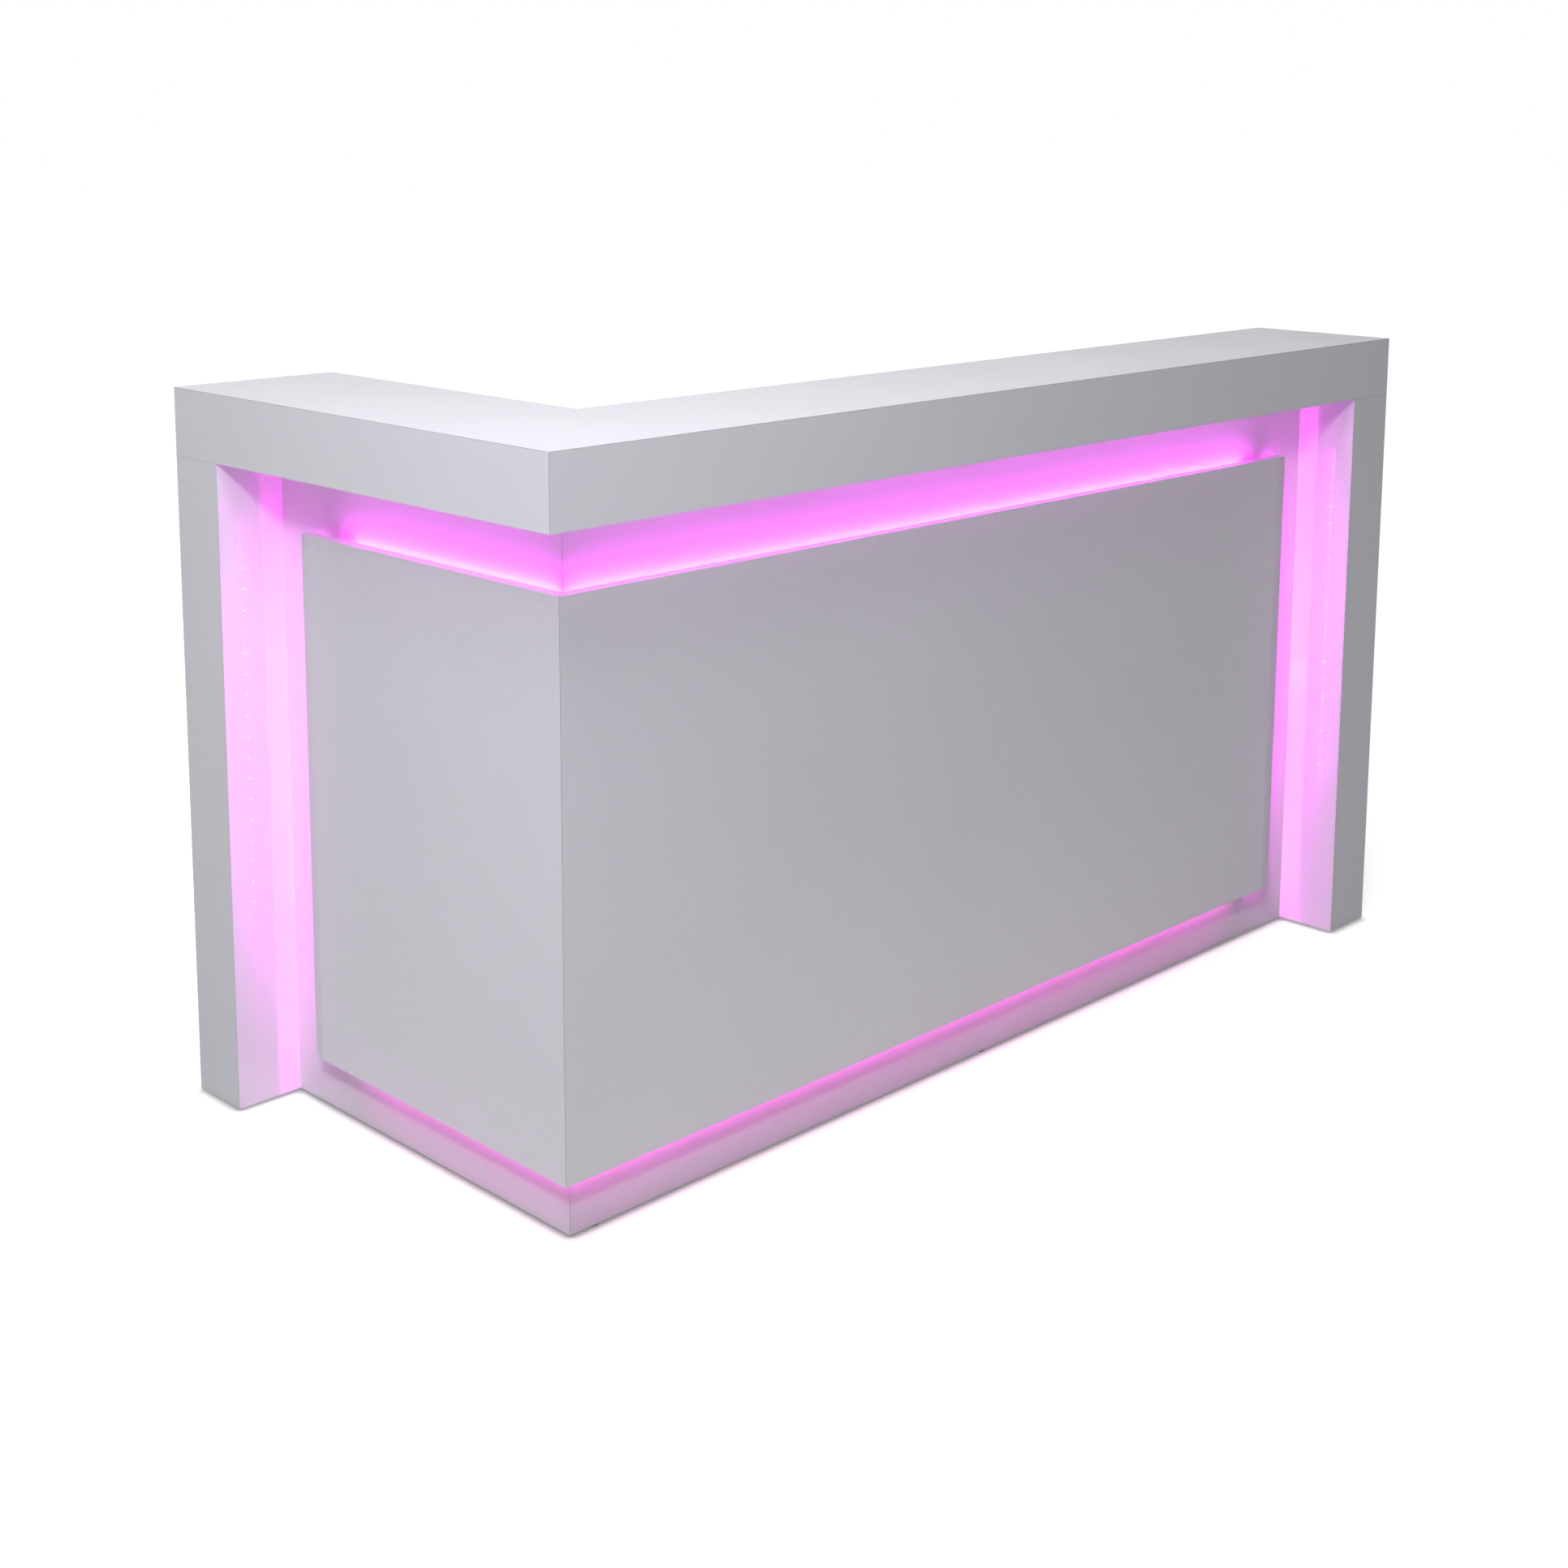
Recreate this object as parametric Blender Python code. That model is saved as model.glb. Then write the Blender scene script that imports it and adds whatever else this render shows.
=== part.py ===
"""An L-shaped reception desk with a lit front panel, a staff worktop and a drawer pedestal.

Sizes are in metres and +Z is up. The desk is drawn from the outer front corner of its L: the long wing
runs along +X, the short wing along +Y, and an empty carries that corner so that the origin lies under the
middle of the desk's footprint.
"""
import math

import bmesh
import bpy
from mathutils import Vector

# Overall
LONG = 1.960
SHORT = 0.870
HEIGHT = 1.100
BOARD = 0.018
JOINT = 0.0003

# Counter slab and end pylons
SLAB = 0.102
SLAB_DEPTH = 0.276
PYLON = 0.110

# Recessed wall and raised front panel
RECESS = 0.110
PANEL = 0.018
SLOT = 0.016
PANEL_BOTTOM = 0.096
PANEL_GAP = 0.100
PANEL_HEADROOM = 0.100

# Battens behind the panel and the light strips on their outer edges
BATTEN = 0.040
BATTEN_SETBACK = 0.012
STRIP = 0.002
STRIP_WIDTH = 0.010
STRIP_STOP = 0.070
END_STRIP_BOTTOM = 0.250

# Worktop and what carries it
WORK_HEIGHT = 0.740
WORKTOP = 0.025
CLEAT = 0.030
CLEAT_HEIGHT = 0.040

# Cable grommet in the worktop
GROMMET_BORE = 0.027
GROMMET_WALL = 0.003
GROMMET_FLANGE = 0.005
GROMMET_LIP = 0.003
GROMMET_FROM_WALL = 0.090
GROMMET_ALONG = 0.900
GROMMET_FIT = 0.0005

# Drawer pedestal
PEDESTAL = 0.420
PEDESTAL_BACK_SPACE = 0.060
PEDESTAL_LIFT = 0.020
FRONT_SETBACK = 0.020
FRONT_BUFFER = 0.002
FRONT_REVEAL = 0.002
FRONT_TOP_GAP = 0.003
DRAWER_NAMES = ("lower", "upper")

# Drawer trays and channel runners
TRAY_BACK_SPACE = 0.045
TRAY_HEIGHT = 0.250
TRAY_LIFT = 0.030
TRAY_SHEET = 0.0015
RUNNER = 0.0125
RUNNER_HEIGHT = 0.018
RUNNER_SHEET = 0.002
RUNNER_BACK_SPACE = 0.063
RUNNER_ABOVE_TRAY_FLOOR = 0.050
RUNNER_SIDE_GAP = 0.001
TONGUE_TOP_GAP = 0.0007

# Drawer handles
HANDLE_PITCH = 0.128
HANDLE_REACH = 0.030
HANDLE_RADIUS = 0.005
HANDLE_BEND = 0.012
HANDLE_BELOW_TOP = 0.060

# Power supply with its inlet and rocker
SUPPLY_ALONG = 1.000
SUPPLY_LENGTH = 0.200
SUPPLY_DEPTH = 0.045
SUPPLY_HEIGHT = 0.060
SUPPLY_BOTTOM = 0.520
INLET_WIDTH = 0.022
INLET_HEIGHT = 0.016
INLET_DEPTH = 0.014
ROCKER_LENGTH = 0.026
ROCKER_WIDTH = 0.016
ROCKER_DEPTH = 0.004
ROCKER_CREST = 0.004
ROCKER_DIP = 0.0025
ROCKER_TILT = 8.0
ROCKER_WELL = 0.012
ROCKER_END_GAP = 0.0015
ROCKER_FROM_END = 0.035

# Lead from the power supply to the strips
LEAD_RADIUS = 0.0025
LEAD_BEND = 0.007
LEAD_HOLE = 0.0035
LEAD_RISE = 0.020
LEAD_FROM_WALL = 0.012
LEAD_FROM_END = 0.030

# Glides
GLIDE = 0.003
GLIDE_RADIUS = 0.008
GLIDE_INSET = 0.030

# Facets
ROUND_SIDES = 32
HOLE_SIDES = 48
BEND_STEPS = 6
TUBE_RESOLUTION = 2

# Levels and faces that several pieces share
FLOOR = GLIDE + JOINT
SLAB_UNDER = HEIGHT - SLAB
BODY_TOP = SLAB_UNDER - JOINT
WALL_BACK = RECESS + BOARD
PANEL_BACK = RECESS - SLOT
PANEL_FRONT = PANEL_BACK - PANEL
PANEL_TOP = SLAB_UNDER - PANEL_HEADROOM
SLOT_MIDDLE = RECESS - SLOT / 2
BATTEN_TOP = PANEL_TOP - BATTEN_SETBACK
BATTEN_BOTTOM = PANEL_BOTTOM + BATTEN_SETBACK
WORK_UNDER = WORK_HEIGHT - WORKTOP
STAFF_START = WALL_BACK + JOINT
STAFF_RIGHT = LONG - PYLON - JOINT
STAFF_BACK = SHORT - PYLON - JOINT
PEDESTAL_LEFT = STAFF_RIGHT - PEDESTAL
PEDESTAL_REAR = STAFF_START + PEDESTAL_BACK_SPACE
PEDESTAL_INSIDE = PEDESTAL_REAR + BOARD
FRONT_FACE = STAFF_BACK - FRONT_SETBACK
FRONT_INNER = FRONT_FACE - BOARD
PEDESTAL_FRONT = FRONT_INNER - FRONT_BUFFER

# Finishes: colour, roughness and metallic value
FINISHES = {
    "white_lacquer": ((0.85, 0.85, 0.87), 0.15, 0.0),
    "inner_board": ((0.78, 0.78, 0.79), 0.45, 0.0),
    "raw_batten": ((0.62, 0.48, 0.33), 0.70, 0.0),
    "light_strip": ((1.00, 0.45, 0.95), 0.40, 0.0),
    "sheet_steel": ((0.60, 0.61, 0.63), 0.35, 1.0),
    "satin_aluminium": ((0.75, 0.76, 0.78), 0.30, 1.0),
    "black_plastic": ((0.03, 0.03, 0.035), 0.45, 0.0),
    "grey_plastic": ((0.35, 0.36, 0.38), 0.50, 0.0),
    "white_cable": ((0.80, 0.80, 0.80), 0.50, 0.0),
}


def clear_scene():
    for thing in list(bpy.data.objects):
        bpy.data.objects.remove(thing, do_unlink=True)


def make_finish(name):
    colour, roughness, metallic = FINISHES[name]
    finish = bpy.data.materials.new(name)
    finish.use_nodes = True
    shader = finish.node_tree.nodes["Principled BSDF"]
    shader.inputs["Base Color"].default_value = (*colour, 1.0)
    shader.inputs["Roughness"].default_value = roughness
    shader.inputs["Metallic"].default_value = metallic
    return finish


def add_object(name, data, origin, finish):
    """Link an object under the desk's corner empty, with its finish and its own origin."""
    thing = bpy.data.objects.new(name, data)
    bpy.context.scene.collection.objects.link(thing)
    thing.parent = bpy.data.objects["desk_corner"]
    thing.location = origin
    data.materials.append(bpy.data.materials[finish])
    return thing


def object_from(name, shape, finish, origin=None):
    """Turn a bmesh drawn in desk coordinates into an object with its origin at the given point."""
    bmesh.ops.recalc_face_normals(shape, faces=shape.faces)
    points = [vert.co for vert in shape.verts]
    if origin is None:
        low = Vector(min(point[axis] for point in points) for axis in range(3))
        high = Vector(max(point[axis] for point in points) for axis in range(3))
        origin = (low + high) / 2
    bmesh.ops.translate(shape, vec=-Vector(origin), verts=shape.verts)
    mesh = bpy.data.meshes.new(name)
    shape.to_mesh(mesh)
    shape.free()
    return add_object(name, mesh, origin, finish)


def loft_shape(lower, upper):
    """A solid between two outlines that have the same number of points."""
    shape = bmesh.new()
    first = [shape.verts.new(point) for point in lower]
    second = [shape.verts.new(point) for point in upper]
    shape.faces.new(list(reversed(first)))
    shape.faces.new(second)
    for index, vert in enumerate(first):
        following = (index + 1) % len(first)
        shape.faces.new((vert, first[following], second[following], second[index]))
    return shape


def box_shape(low, high):
    plan = ((low[0], low[1]), (high[0], low[1]), (high[0], high[1]), (low[0], high[1]))
    return loft_shape([(x, y, low[2]) for x, y in plan], [(x, y, high[2]) for x, y in plan])


def slice_off(shape, point, normal, gap):
    """Take away what lies beyond a plane, and draw the new face back from it by the gap."""
    normal = Vector(normal).normalized()
    seat = Vector(point) - normal * gap
    everything = shape.verts[:] + shape.edges[:] + shape.faces[:]
    cut = bmesh.ops.bisect_plane(shape, geom=everything, plane_co=seat, plane_no=normal, clear_outer=True)
    rim = [part for part in cut["geom_cut"] if isinstance(part, bmesh.types.BMEdge)]
    bmesh.ops.contextual_create(shape, geom=rim)


def board(name, low, high, finish, mitres=()):
    """A flat board between two corners, with its edges cut along the mitre planes."""
    shape = box_shape(low, high)
    for point, normal, gap in mitres:
        slice_off(shape, point, normal, gap)
    return object_from(name, shape, finish)


def ell_outline(front, back, long_end, short_end, level):
    """The plan of a piece that runs along both wings, between two depths."""
    plan = (
        (front, front), (long_end, front), (long_end, back),
        (back, back), (back, short_end), (front, short_end),
    )
    return [(x, y, level) for x, y in plan]


def tube(name, route, radius, finish, origin):
    """A round bar or lead along a route given in desk coordinates."""
    curve = bpy.data.curves.new(name, "CURVE")
    curve.dimensions = "3D"
    curve.bevel_depth = radius
    curve.bevel_resolution = TUBE_RESOLUTION
    curve.use_fill_caps = True
    line = curve.splines.new("POLY")
    line.points.add(len(route) - 1)
    for spot, point in zip(line.points, route):
        spot.co = (*(Vector(point) - Vector(origin)), 1.0)
    return add_object(name, curve, origin, finish)


def bend(centre, first, second, radius):
    """Points of a quarter turn about a centre, from one unit direction to another."""
    points = []
    for step in range(BEND_STEPS + 1):
        angle = math.pi / 2 * step / BEND_STEPS
        out = Vector(first) * math.cos(angle) + Vector(second) * math.sin(angle)
        points.append(Vector(centre) + radius * out)
    return points


def cut_away(body, cutter):
    """Take a cutter out of a body and keep the cutter as a hidden guide."""
    cutter.hide_render = True
    cutter.display_type = "WIRE"
    modifier = body.modifiers.new(cutter.name, "BOOLEAN")
    modifier.operation = "DIFFERENCE"
    modifier.solver = "EXACT"
    modifier.object = cutter


def round_shape(centre, radius, length, axis, sides):
    """A round bar along an axis, about its middle."""
    shape = bmesh.new()
    bmesh.ops.create_cone(shape, cap_ends=True, segments=sides, radius1=radius, radius2=radius, depth=length)
    turn = Vector((0, 0, 1)).rotation_difference(Vector(axis)).to_matrix()
    bmesh.ops.rotate(shape, cent=(0, 0, 0), matrix=turn, verts=shape.verts)
    bmesh.ops.translate(shape, vec=centre, verts=shape.verts)
    return shape


def round_cutter(name, centre, radius, length, axis, finish):
    return object_from(name, round_shape(centre, radius, length, axis, HOLE_SIDES), finish)


class Wing:
    """One arm of the L: pieces are given along the arm, in from its front face and up."""

    def __init__(self, name, side, length, swapped):
        self.name = name
        self.side = side
        self.length = length
        self.swapped = swapped
        self.inner_end = length - PYLON
        self.panel_end = self.inner_end - PANEL_GAP

    def spot(self, point):
        along, inward, up = point
        return (inward, along, up) if self.swapped else (along, inward, up)

    def board(self, name, low, high, finish, mitres=()):
        turned = [(self.spot(point), self.spot(normal), gap) for point, normal, gap in mitres]
        return board(name, self.spot(low), self.spot(high), finish, turned)


def corner_mitre():
    """The joint at the L's corner, shared by boards of both wings."""
    return ((0, 0, 0), (-1, 1, 0), JOINT / 2)


def add_slab(wings):
    top_back = SLAB_DEPTH - BOARD
    lower = ell_outline(BOARD, top_back, LONG - BOARD, SHORT - BOARD, HEIGHT - BOARD)
    upper = ell_outline(0, SLAB_DEPTH, LONG, SHORT, HEIGHT)
    object_from("counter_top", loft_shape(lower, upper), "white_lacquer")

    inner_front = BOARD + JOINT
    inner_back = SLAB_DEPTH - BOARD - JOINT
    ends = (LONG - BOARD - JOINT, SHORT - BOARD - JOINT)
    lower = ell_outline(inner_front, inner_back, *ends, SLAB_UNDER)
    upper = ell_outline(inner_front, inner_back, *ends, SLAB_UNDER + BOARD)
    object_from("soffit", loft_shape(lower, upper), "white_lacquer")

    for wing in wings:
        end = wing.length
        wing.board(
            f"fascia_{wing.name}", (0, 0, SLAB_UNDER), (end, BOARD, HEIGHT), "white_lacquer",
            (
                corner_mitre(),
                ((end, 0, 0), (1, 1, 0), JOINT / 2),
                ((0, 0, HEIGHT), (0, 1, 1), JOINT),
            ),
        )
        wing.board(
            f"back_rail_{wing.name}", (top_back, top_back, SLAB_UNDER), (end, SLAB_DEPTH, HEIGHT),
            "white_lacquer",
            (
                corner_mitre(),
                ((end, SLAB_DEPTH, 0), (1, -1, 0), JOINT / 2),
                ((0, SLAB_DEPTH, HEIGHT), (0, -1, 1), JOINT),
            ),
        )


def add_pylon(wing):
    """Four mitred boards round a hollow: the outer gable runs up to close the slab's end."""
    end = wing.length
    inner = wing.inner_end
    wing.board(
        f"{wing.side}_gable", (end - BOARD, 0, FLOOR), (end, SLAB_DEPTH, HEIGHT), "white_lacquer",
        (
            ((end, 0, 0), (-1, -1, 0), JOINT / 2),
            ((end, SLAB_DEPTH, 0), (-1, 1, 0), JOINT / 2),
            ((end, 0, HEIGHT), (-1, 0, 1), JOINT),
        ),
    )
    wing.board(
        f"{wing.side}_pylon_front", (inner, 0, FLOOR), (end, BOARD, BODY_TOP), "white_lacquer",
        (
            ((end, 0, 0), (1, 1, 0), JOINT / 2),
            ((inner, 0, 0), (-1, 1, 0), JOINT / 2),
        ),
    )
    wing.board(
        f"{wing.side}_cheek", (inner, 0, FLOOR), (inner + BOARD, SLAB_DEPTH, BODY_TOP), "white_lacquer",
        (
            ((inner, 0, 0), (1, -1, 0), JOINT / 2),
            ((inner, SLAB_DEPTH, 0), (1, 1, 0), JOINT / 2),
        ),
    )
    wing.board(
        f"{wing.side}_pylon_back", (inner, SLAB_DEPTH - BOARD, FLOOR), (end, SLAB_DEPTH, BODY_TOP),
        "white_lacquer",
        (
            ((inner, SLAB_DEPTH, 0), (-1, -1, 0), JOINT / 2),
            ((end, SLAB_DEPTH, 0), (1, -1, 0), JOINT / 2),
        ),
    )


def add_front(wing):
    """The recessed wall, the raised panel and the battens between them."""
    wing.board(
        f"wall_{wing.name}", (RECESS, RECESS, FLOOR), (wing.inner_end - JOINT, WALL_BACK, BODY_TOP),
        "white_lacquer", (corner_mitre(),),
    )
    wing.board(
        f"front_panel_{wing.name}", (PANEL_FRONT, PANEL_FRONT, PANEL_BOTTOM),
        (wing.panel_end, PANEL_BACK, PANEL_TOP), "white_lacquer", (corner_mitre(),),
    )
    near = PANEL_BACK + JOINT
    far = RECESS - JOINT
    end = wing.panel_end - BATTEN_SETBACK
    stile = end - BATTEN
    rails = {"top": BATTEN_TOP - BATTEN, "bottom": BATTEN_BOTTOM}
    for place, low in rails.items():
        wing.board(
            f"spacer_{place}_{wing.name}", (near, near, low), (stile - JOINT, far, low + BATTEN),
            "raw_batten", (corner_mitre(),),
        )
    wing.board(f"spacer_{wing.side}", (stile, near, BATTEN_BOTTOM), (end, far, BATTEN_TOP), "raw_batten")
    strip_near = SLOT_MIDDLE - STRIP_WIDTH / 2
    strip_far = SLOT_MIDDLE + STRIP_WIDTH / 2
    wing.board(
        f"led_strip_{wing.side}", (end + JOINT, strip_near, END_STRIP_BOTTOM),
        (end + JOINT + STRIP, strip_far, BATTEN_TOP), "light_strip",
    )


def add_corner_strips(wings):
    """The strips on the top and bottom battens, which turn the L's corner in one length."""
    ends = [wing.panel_end - STRIP_STOP for wing in wings]
    near = SLOT_MIDDLE - STRIP_WIDTH / 2
    far = SLOT_MIDDLE + STRIP_WIDTH / 2
    levels = {"top": BATTEN_TOP + JOINT, "bottom": BATTEN_BOTTOM - JOINT - STRIP}
    for place, low in levels.items():
        lower = ell_outline(near, far, *ends, low)
        upper = ell_outline(near, far, *ends, low + STRIP)
        object_from(f"led_strip_{place}", loft_shape(lower, upper), "light_strip")


def add_worktop(wings):
    low = (STAFF_START, STAFF_START, WORK_UNDER)
    high = (STAFF_RIGHT, STAFF_BACK, WORK_HEIGHT)
    worktop = board("worktop", low, high, "inner_board")
    centre = Vector((GROMMET_ALONG, STAFF_START + GROMMET_FROM_WALL, WORK_UNDER + WORKTOP / 2))
    body = GROMMET_BORE + GROMMET_WALL
    hole = round_cutter("grommet_hole", centre, body + GROMMET_FIT, 2 * WORKTOP, (0, 0, 1), "inner_board")
    cut_away(worktop, hole)
    add_grommet(centre, body)

    cleat_top = WORK_UNDER - JOINT
    starts = {"long": STAFF_START, "short": STAFF_START + CLEAT + JOINT}
    ends = {"long": PEDESTAL_LEFT - JOINT, "short": STAFF_BACK}
    for wing in wings:
        wing.board(
            f"worktop_cleat_{wing.name}", (starts[wing.name], STAFF_START, cleat_top - CLEAT_HEIGHT),
            (ends[wing.name], STAFF_START + CLEAT, cleat_top), "inner_board",
        )


def add_grommet(centre, body):
    """A turned liner whose flange lies on the worktop."""
    seat = WORK_HEIGHT + JOINT
    crown = seat + GROMMET_LIP
    rim = body + GROMMET_FLANGE
    profile = (
        (GROMMET_BORE, WORK_UNDER), (body, WORK_UNDER), (body, seat),
        (rim, seat), (rim, crown), (GROMMET_BORE, crown),
    )
    foot = Vector((centre.x, centre.y, 0))
    shape = bmesh.new()
    rings = []
    for step in range(ROUND_SIDES):
        angle = 2 * math.pi * step / ROUND_SIDES
        out = Vector((math.cos(angle), math.sin(angle), 0))
        spots = [foot + out * radius + Vector((0, 0, level)) for radius, level in profile]
        rings.append([shape.verts.new(spot) for spot in spots])
    for step, ring in enumerate(rings):
        other = rings[(step + 1) % ROUND_SIDES]
        for index, vert in enumerate(ring):
            following = (index + 1) % len(profile)
            shape.faces.new((vert, other[index], other[following], ring[following]))
    grommet = object_from("cable_grommet", shape, "grey_plastic")
    grommet.data.shade_smooth()
    grommet.data.set_sharp_from_angle(angle=math.radians(40))


def add_pedestal():
    left = PEDESTAL_LEFT
    right = STAFF_RIGHT
    top = WORK_UNDER - JOINT
    for name, x in (("left", left), ("right", right - BOARD)):
        low = (x, PEDESTAL_REAR, FLOOR)
        board(f"pedestal_{name}_side", low, (x + BOARD, PEDESTAL_FRONT, top), "inner_board")
    inner_left = left + BOARD + JOINT
    inner_right = right - BOARD - JOINT
    floor_under = FLOOR + PEDESTAL_LIFT
    floor_top = floor_under + BOARD
    board(
        "pedestal_bottom", (inner_left, PEDESTAL_REAR, floor_under), (inner_right, PEDESTAL_FRONT, floor_top),
        "inner_board",
    )
    board(
        "pedestal_back", (inner_left, PEDESTAL_REAR, floor_top + JOINT),
        (inner_right, PEDESTAL_INSIDE, top), "inner_board",
    )


def front_height():
    """Height of one drawer front, with an even reveal between the fronts."""
    clear = WORK_UNDER - FRONT_TOP_GAP - (FLOOR + PEDESTAL_LIFT)
    count = len(DRAWER_NAMES)
    return (clear - FRONT_REVEAL * (count - 1)) / count


def add_drawer(name, number):
    """A front with its handle, a tray with a tongue along each side, and the two channel runners."""
    low = FLOOR + PEDESTAL_LIFT + number * (front_height() + FRONT_REVEAL)
    board(
        f"{name}_drawer_front", (PEDESTAL_LEFT + FRONT_REVEAL, FRONT_INNER, low),
        (STAFF_RIGHT - FRONT_REVEAL, FRONT_FACE, low + front_height()), "inner_board",
    )
    add_handle(name, low + front_height() - HANDLE_BELOW_TOP)

    tray_low = low + TRAY_LIFT
    channel_low = tray_low + RUNNER_ABOVE_TRAY_FLOOR
    inner_left = PEDESTAL_LEFT + BOARD + JOINT
    inner_right = STAFF_RIGHT - BOARD - JOINT
    add_runner(f"{name}_runner_left", inner_left, 1, channel_low)
    add_runner(f"{name}_runner_right", inner_right, -1, channel_low)
    add_tray(name, inner_left, inner_right, tray_low, channel_low)


def add_handle(name, level):
    middle = (PEDESTAL_LEFT + STAFF_RIGHT) / 2
    seat = FRONT_FACE + JOINT
    reach = seat + HANDLE_REACH
    half = HANDLE_PITCH / 2
    turn = reach - HANDLE_BEND
    left = middle - half
    right = middle + half
    route = [(left, seat, level)]
    route += bend((left + HANDLE_BEND, turn, level), (-1, 0, 0), (0, 1, 0), HANDLE_BEND)
    route += bend((right - HANDLE_BEND, turn, level), (0, 1, 0), (1, 0, 0), HANDLE_BEND)
    route.append((right, seat, level))
    tube(f"{name}_handle", route, HANDLE_RADIUS, "satin_aluminium", (middle, seat, level))


def add_runner(name, side_face, inward, low):
    """A channel on the pedestal's side, open towards the tray."""
    back = side_face
    sheet = side_face + inward * RUNNER_SHEET
    lip = side_face + inward * RUNNER
    high = low + RUNNER_HEIGHT
    outline = (
        (back, low), (lip, low), (lip, low + RUNNER_SHEET), (sheet, low + RUNNER_SHEET),
        (sheet, high - RUNNER_SHEET), (lip, high - RUNNER_SHEET), (lip, high), (back, high),
    )
    far = PEDESTAL_INSIDE + RUNNER_BACK_SPACE
    shape = loft_shape([(x, far, z) for x, z in outline], [(x, PEDESTAL_FRONT, z) for x, z in outline])
    object_from(name, shape, "sheet_steel")


def add_tray(name, inner_left, inner_right, low, channel_low):
    wall_left = inner_left + RUNNER + RUNNER_SIDE_GAP
    wall_right = inner_right - RUNNER - RUNNER_SIDE_GAP
    reach = RUNNER + RUNNER_SIDE_GAP - RUNNER_SHEET - JOINT
    tongue_low = channel_low + RUNNER_SHEET + JOINT
    tongue_high = channel_low + RUNNER_HEIGHT - RUNNER_SHEET - TONGUE_TOP_GAP
    high = low + TRAY_HEIGHT
    outline = (
        (wall_left, low), (wall_right, low),
        (wall_right, tongue_low), (wall_right + reach, tongue_low),
        (wall_right + reach, tongue_high), (wall_right, tongue_high),
        (wall_right, high), (wall_left, high),
        (wall_left, tongue_high), (wall_left - reach, tongue_high),
        (wall_left - reach, tongue_low), (wall_left, tongue_low),
    )
    front = FRONT_INNER - JOINT
    rear = PEDESTAL_INSIDE + TRAY_BACK_SPACE
    shape = loft_shape([(x, rear, z) for x, z in outline], [(x, front, z) for x, z in outline])
    tray = object_from(f"{name}_tray", shape, "sheet_steel")
    hollow = box_shape(
        (wall_left + TRAY_SHEET, rear + TRAY_SHEET, low + TRAY_SHEET),
        (wall_right - TRAY_SHEET, front - TRAY_SHEET, high + TRAY_SHEET),
    )
    cut_away(tray, object_from(f"{name}_tray_hollow", hollow, "sheet_steel"))


def add_power_supply():
    """A housing on the wall's staff side, with a mains inlet in its end and a rocker in its face."""
    left = SUPPLY_ALONG
    right = left + SUPPLY_LENGTH
    face = STAFF_START + SUPPLY_DEPTH
    top = SUPPLY_BOTTOM + SUPPLY_HEIGHT
    middle = (SUPPLY_BOTTOM + top) / 2
    housing = board("power_supply", (left, STAFF_START, SUPPLY_BOTTOM), (right, face, top), "black_plastic")

    depth_middle = STAFF_START + SUPPLY_DEPTH / 2
    inlet = box_shape(
        (right - INLET_DEPTH, depth_middle - INLET_WIDTH / 2, middle - INLET_HEIGHT / 2),
        (right + INLET_DEPTH, depth_middle + INLET_WIDTH / 2, middle + INLET_HEIGHT / 2),
    )
    cut_away(housing, object_from("inlet_well", inlet, "black_plastic"))

    pivot = Vector((right - INLET_DEPTH - ROCKER_FROM_END, face, middle))
    half_well = ROCKER_LENGTH / 2 + ROCKER_END_GAP
    half_width = ROCKER_WIDTH / 2
    well = box_shape(
        (pivot.x - half_well, face - ROCKER_WELL, middle - half_width - JOINT),
        (pivot.x + half_well, face + ROCKER_WELL, middle + half_width + JOINT),
    )
    cut_away(housing, object_from("rocker_well", well, "black_plastic"))
    add_rocker(pivot, half_width)


def add_rocker(pivot, half_width):
    """A rocker on a pivot across its width, stored switched on."""
    half = ROCKER_LENGTH / 2
    outline = (
        (-half, -ROCKER_DEPTH), (half, -ROCKER_DEPTH),
        (half, ROCKER_CREST), (0, ROCKER_DIP), (-half, ROCKER_CREST),
    )
    lower = [pivot + Vector((x, y, -half_width)) for x, y in outline]
    upper = [pivot + Vector((x, y, half_width)) for x, y in outline]
    rocker = object_from("power_rocker", loft_shape(lower, upper), "grey_plastic", pivot)
    rocker.rotation_euler.z = math.radians(ROCKER_TILT)


def add_lead():
    """The lead climbs from the supply, passes the wall and climbs in the slot to the top strip."""
    along = SUPPLY_ALONG + LEAD_FROM_END
    start = SUPPLY_BOTTOM + SUPPLY_HEIGHT + JOINT
    level = start + LEAD_RISE
    outside = STAFF_START + LEAD_FROM_WALL
    finish = BATTEN_TOP
    route = [(along, outside, start)]
    route += bend((along, outside - LEAD_BEND, level - LEAD_BEND), (0, 1, 0), (0, 0, 1), LEAD_BEND)
    route += bend((along, SLOT_MIDDLE + LEAD_BEND, level + LEAD_BEND), (0, 0, -1), (0, -1, 0), LEAD_BEND)
    route.append((along, SLOT_MIDDLE, finish))
    tube("led_lead", route, LEAD_RADIUS, "white_cable", (along, outside, start))

    wall_middle = (along, RECESS + BOARD / 2, level)
    wall_hole = round_cutter("wall_lead_hole", wall_middle, LEAD_HOLE, 2 * BOARD, (0, 1, 0), "white_lacquer")
    cut_away(bpy.data.objects["wall_long"], wall_hole)
    rail_middle = (along, SLOT_MIDDLE, BATTEN_TOP - BATTEN / 2)
    rail_hole = round_cutter("rail_lead_hole", rail_middle, LEAD_HOLE, 2 * BATTEN, (0, 0, 1), "raw_batten")
    cut_away(bpy.data.objects["spacer_top_long"], rail_hole)


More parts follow.
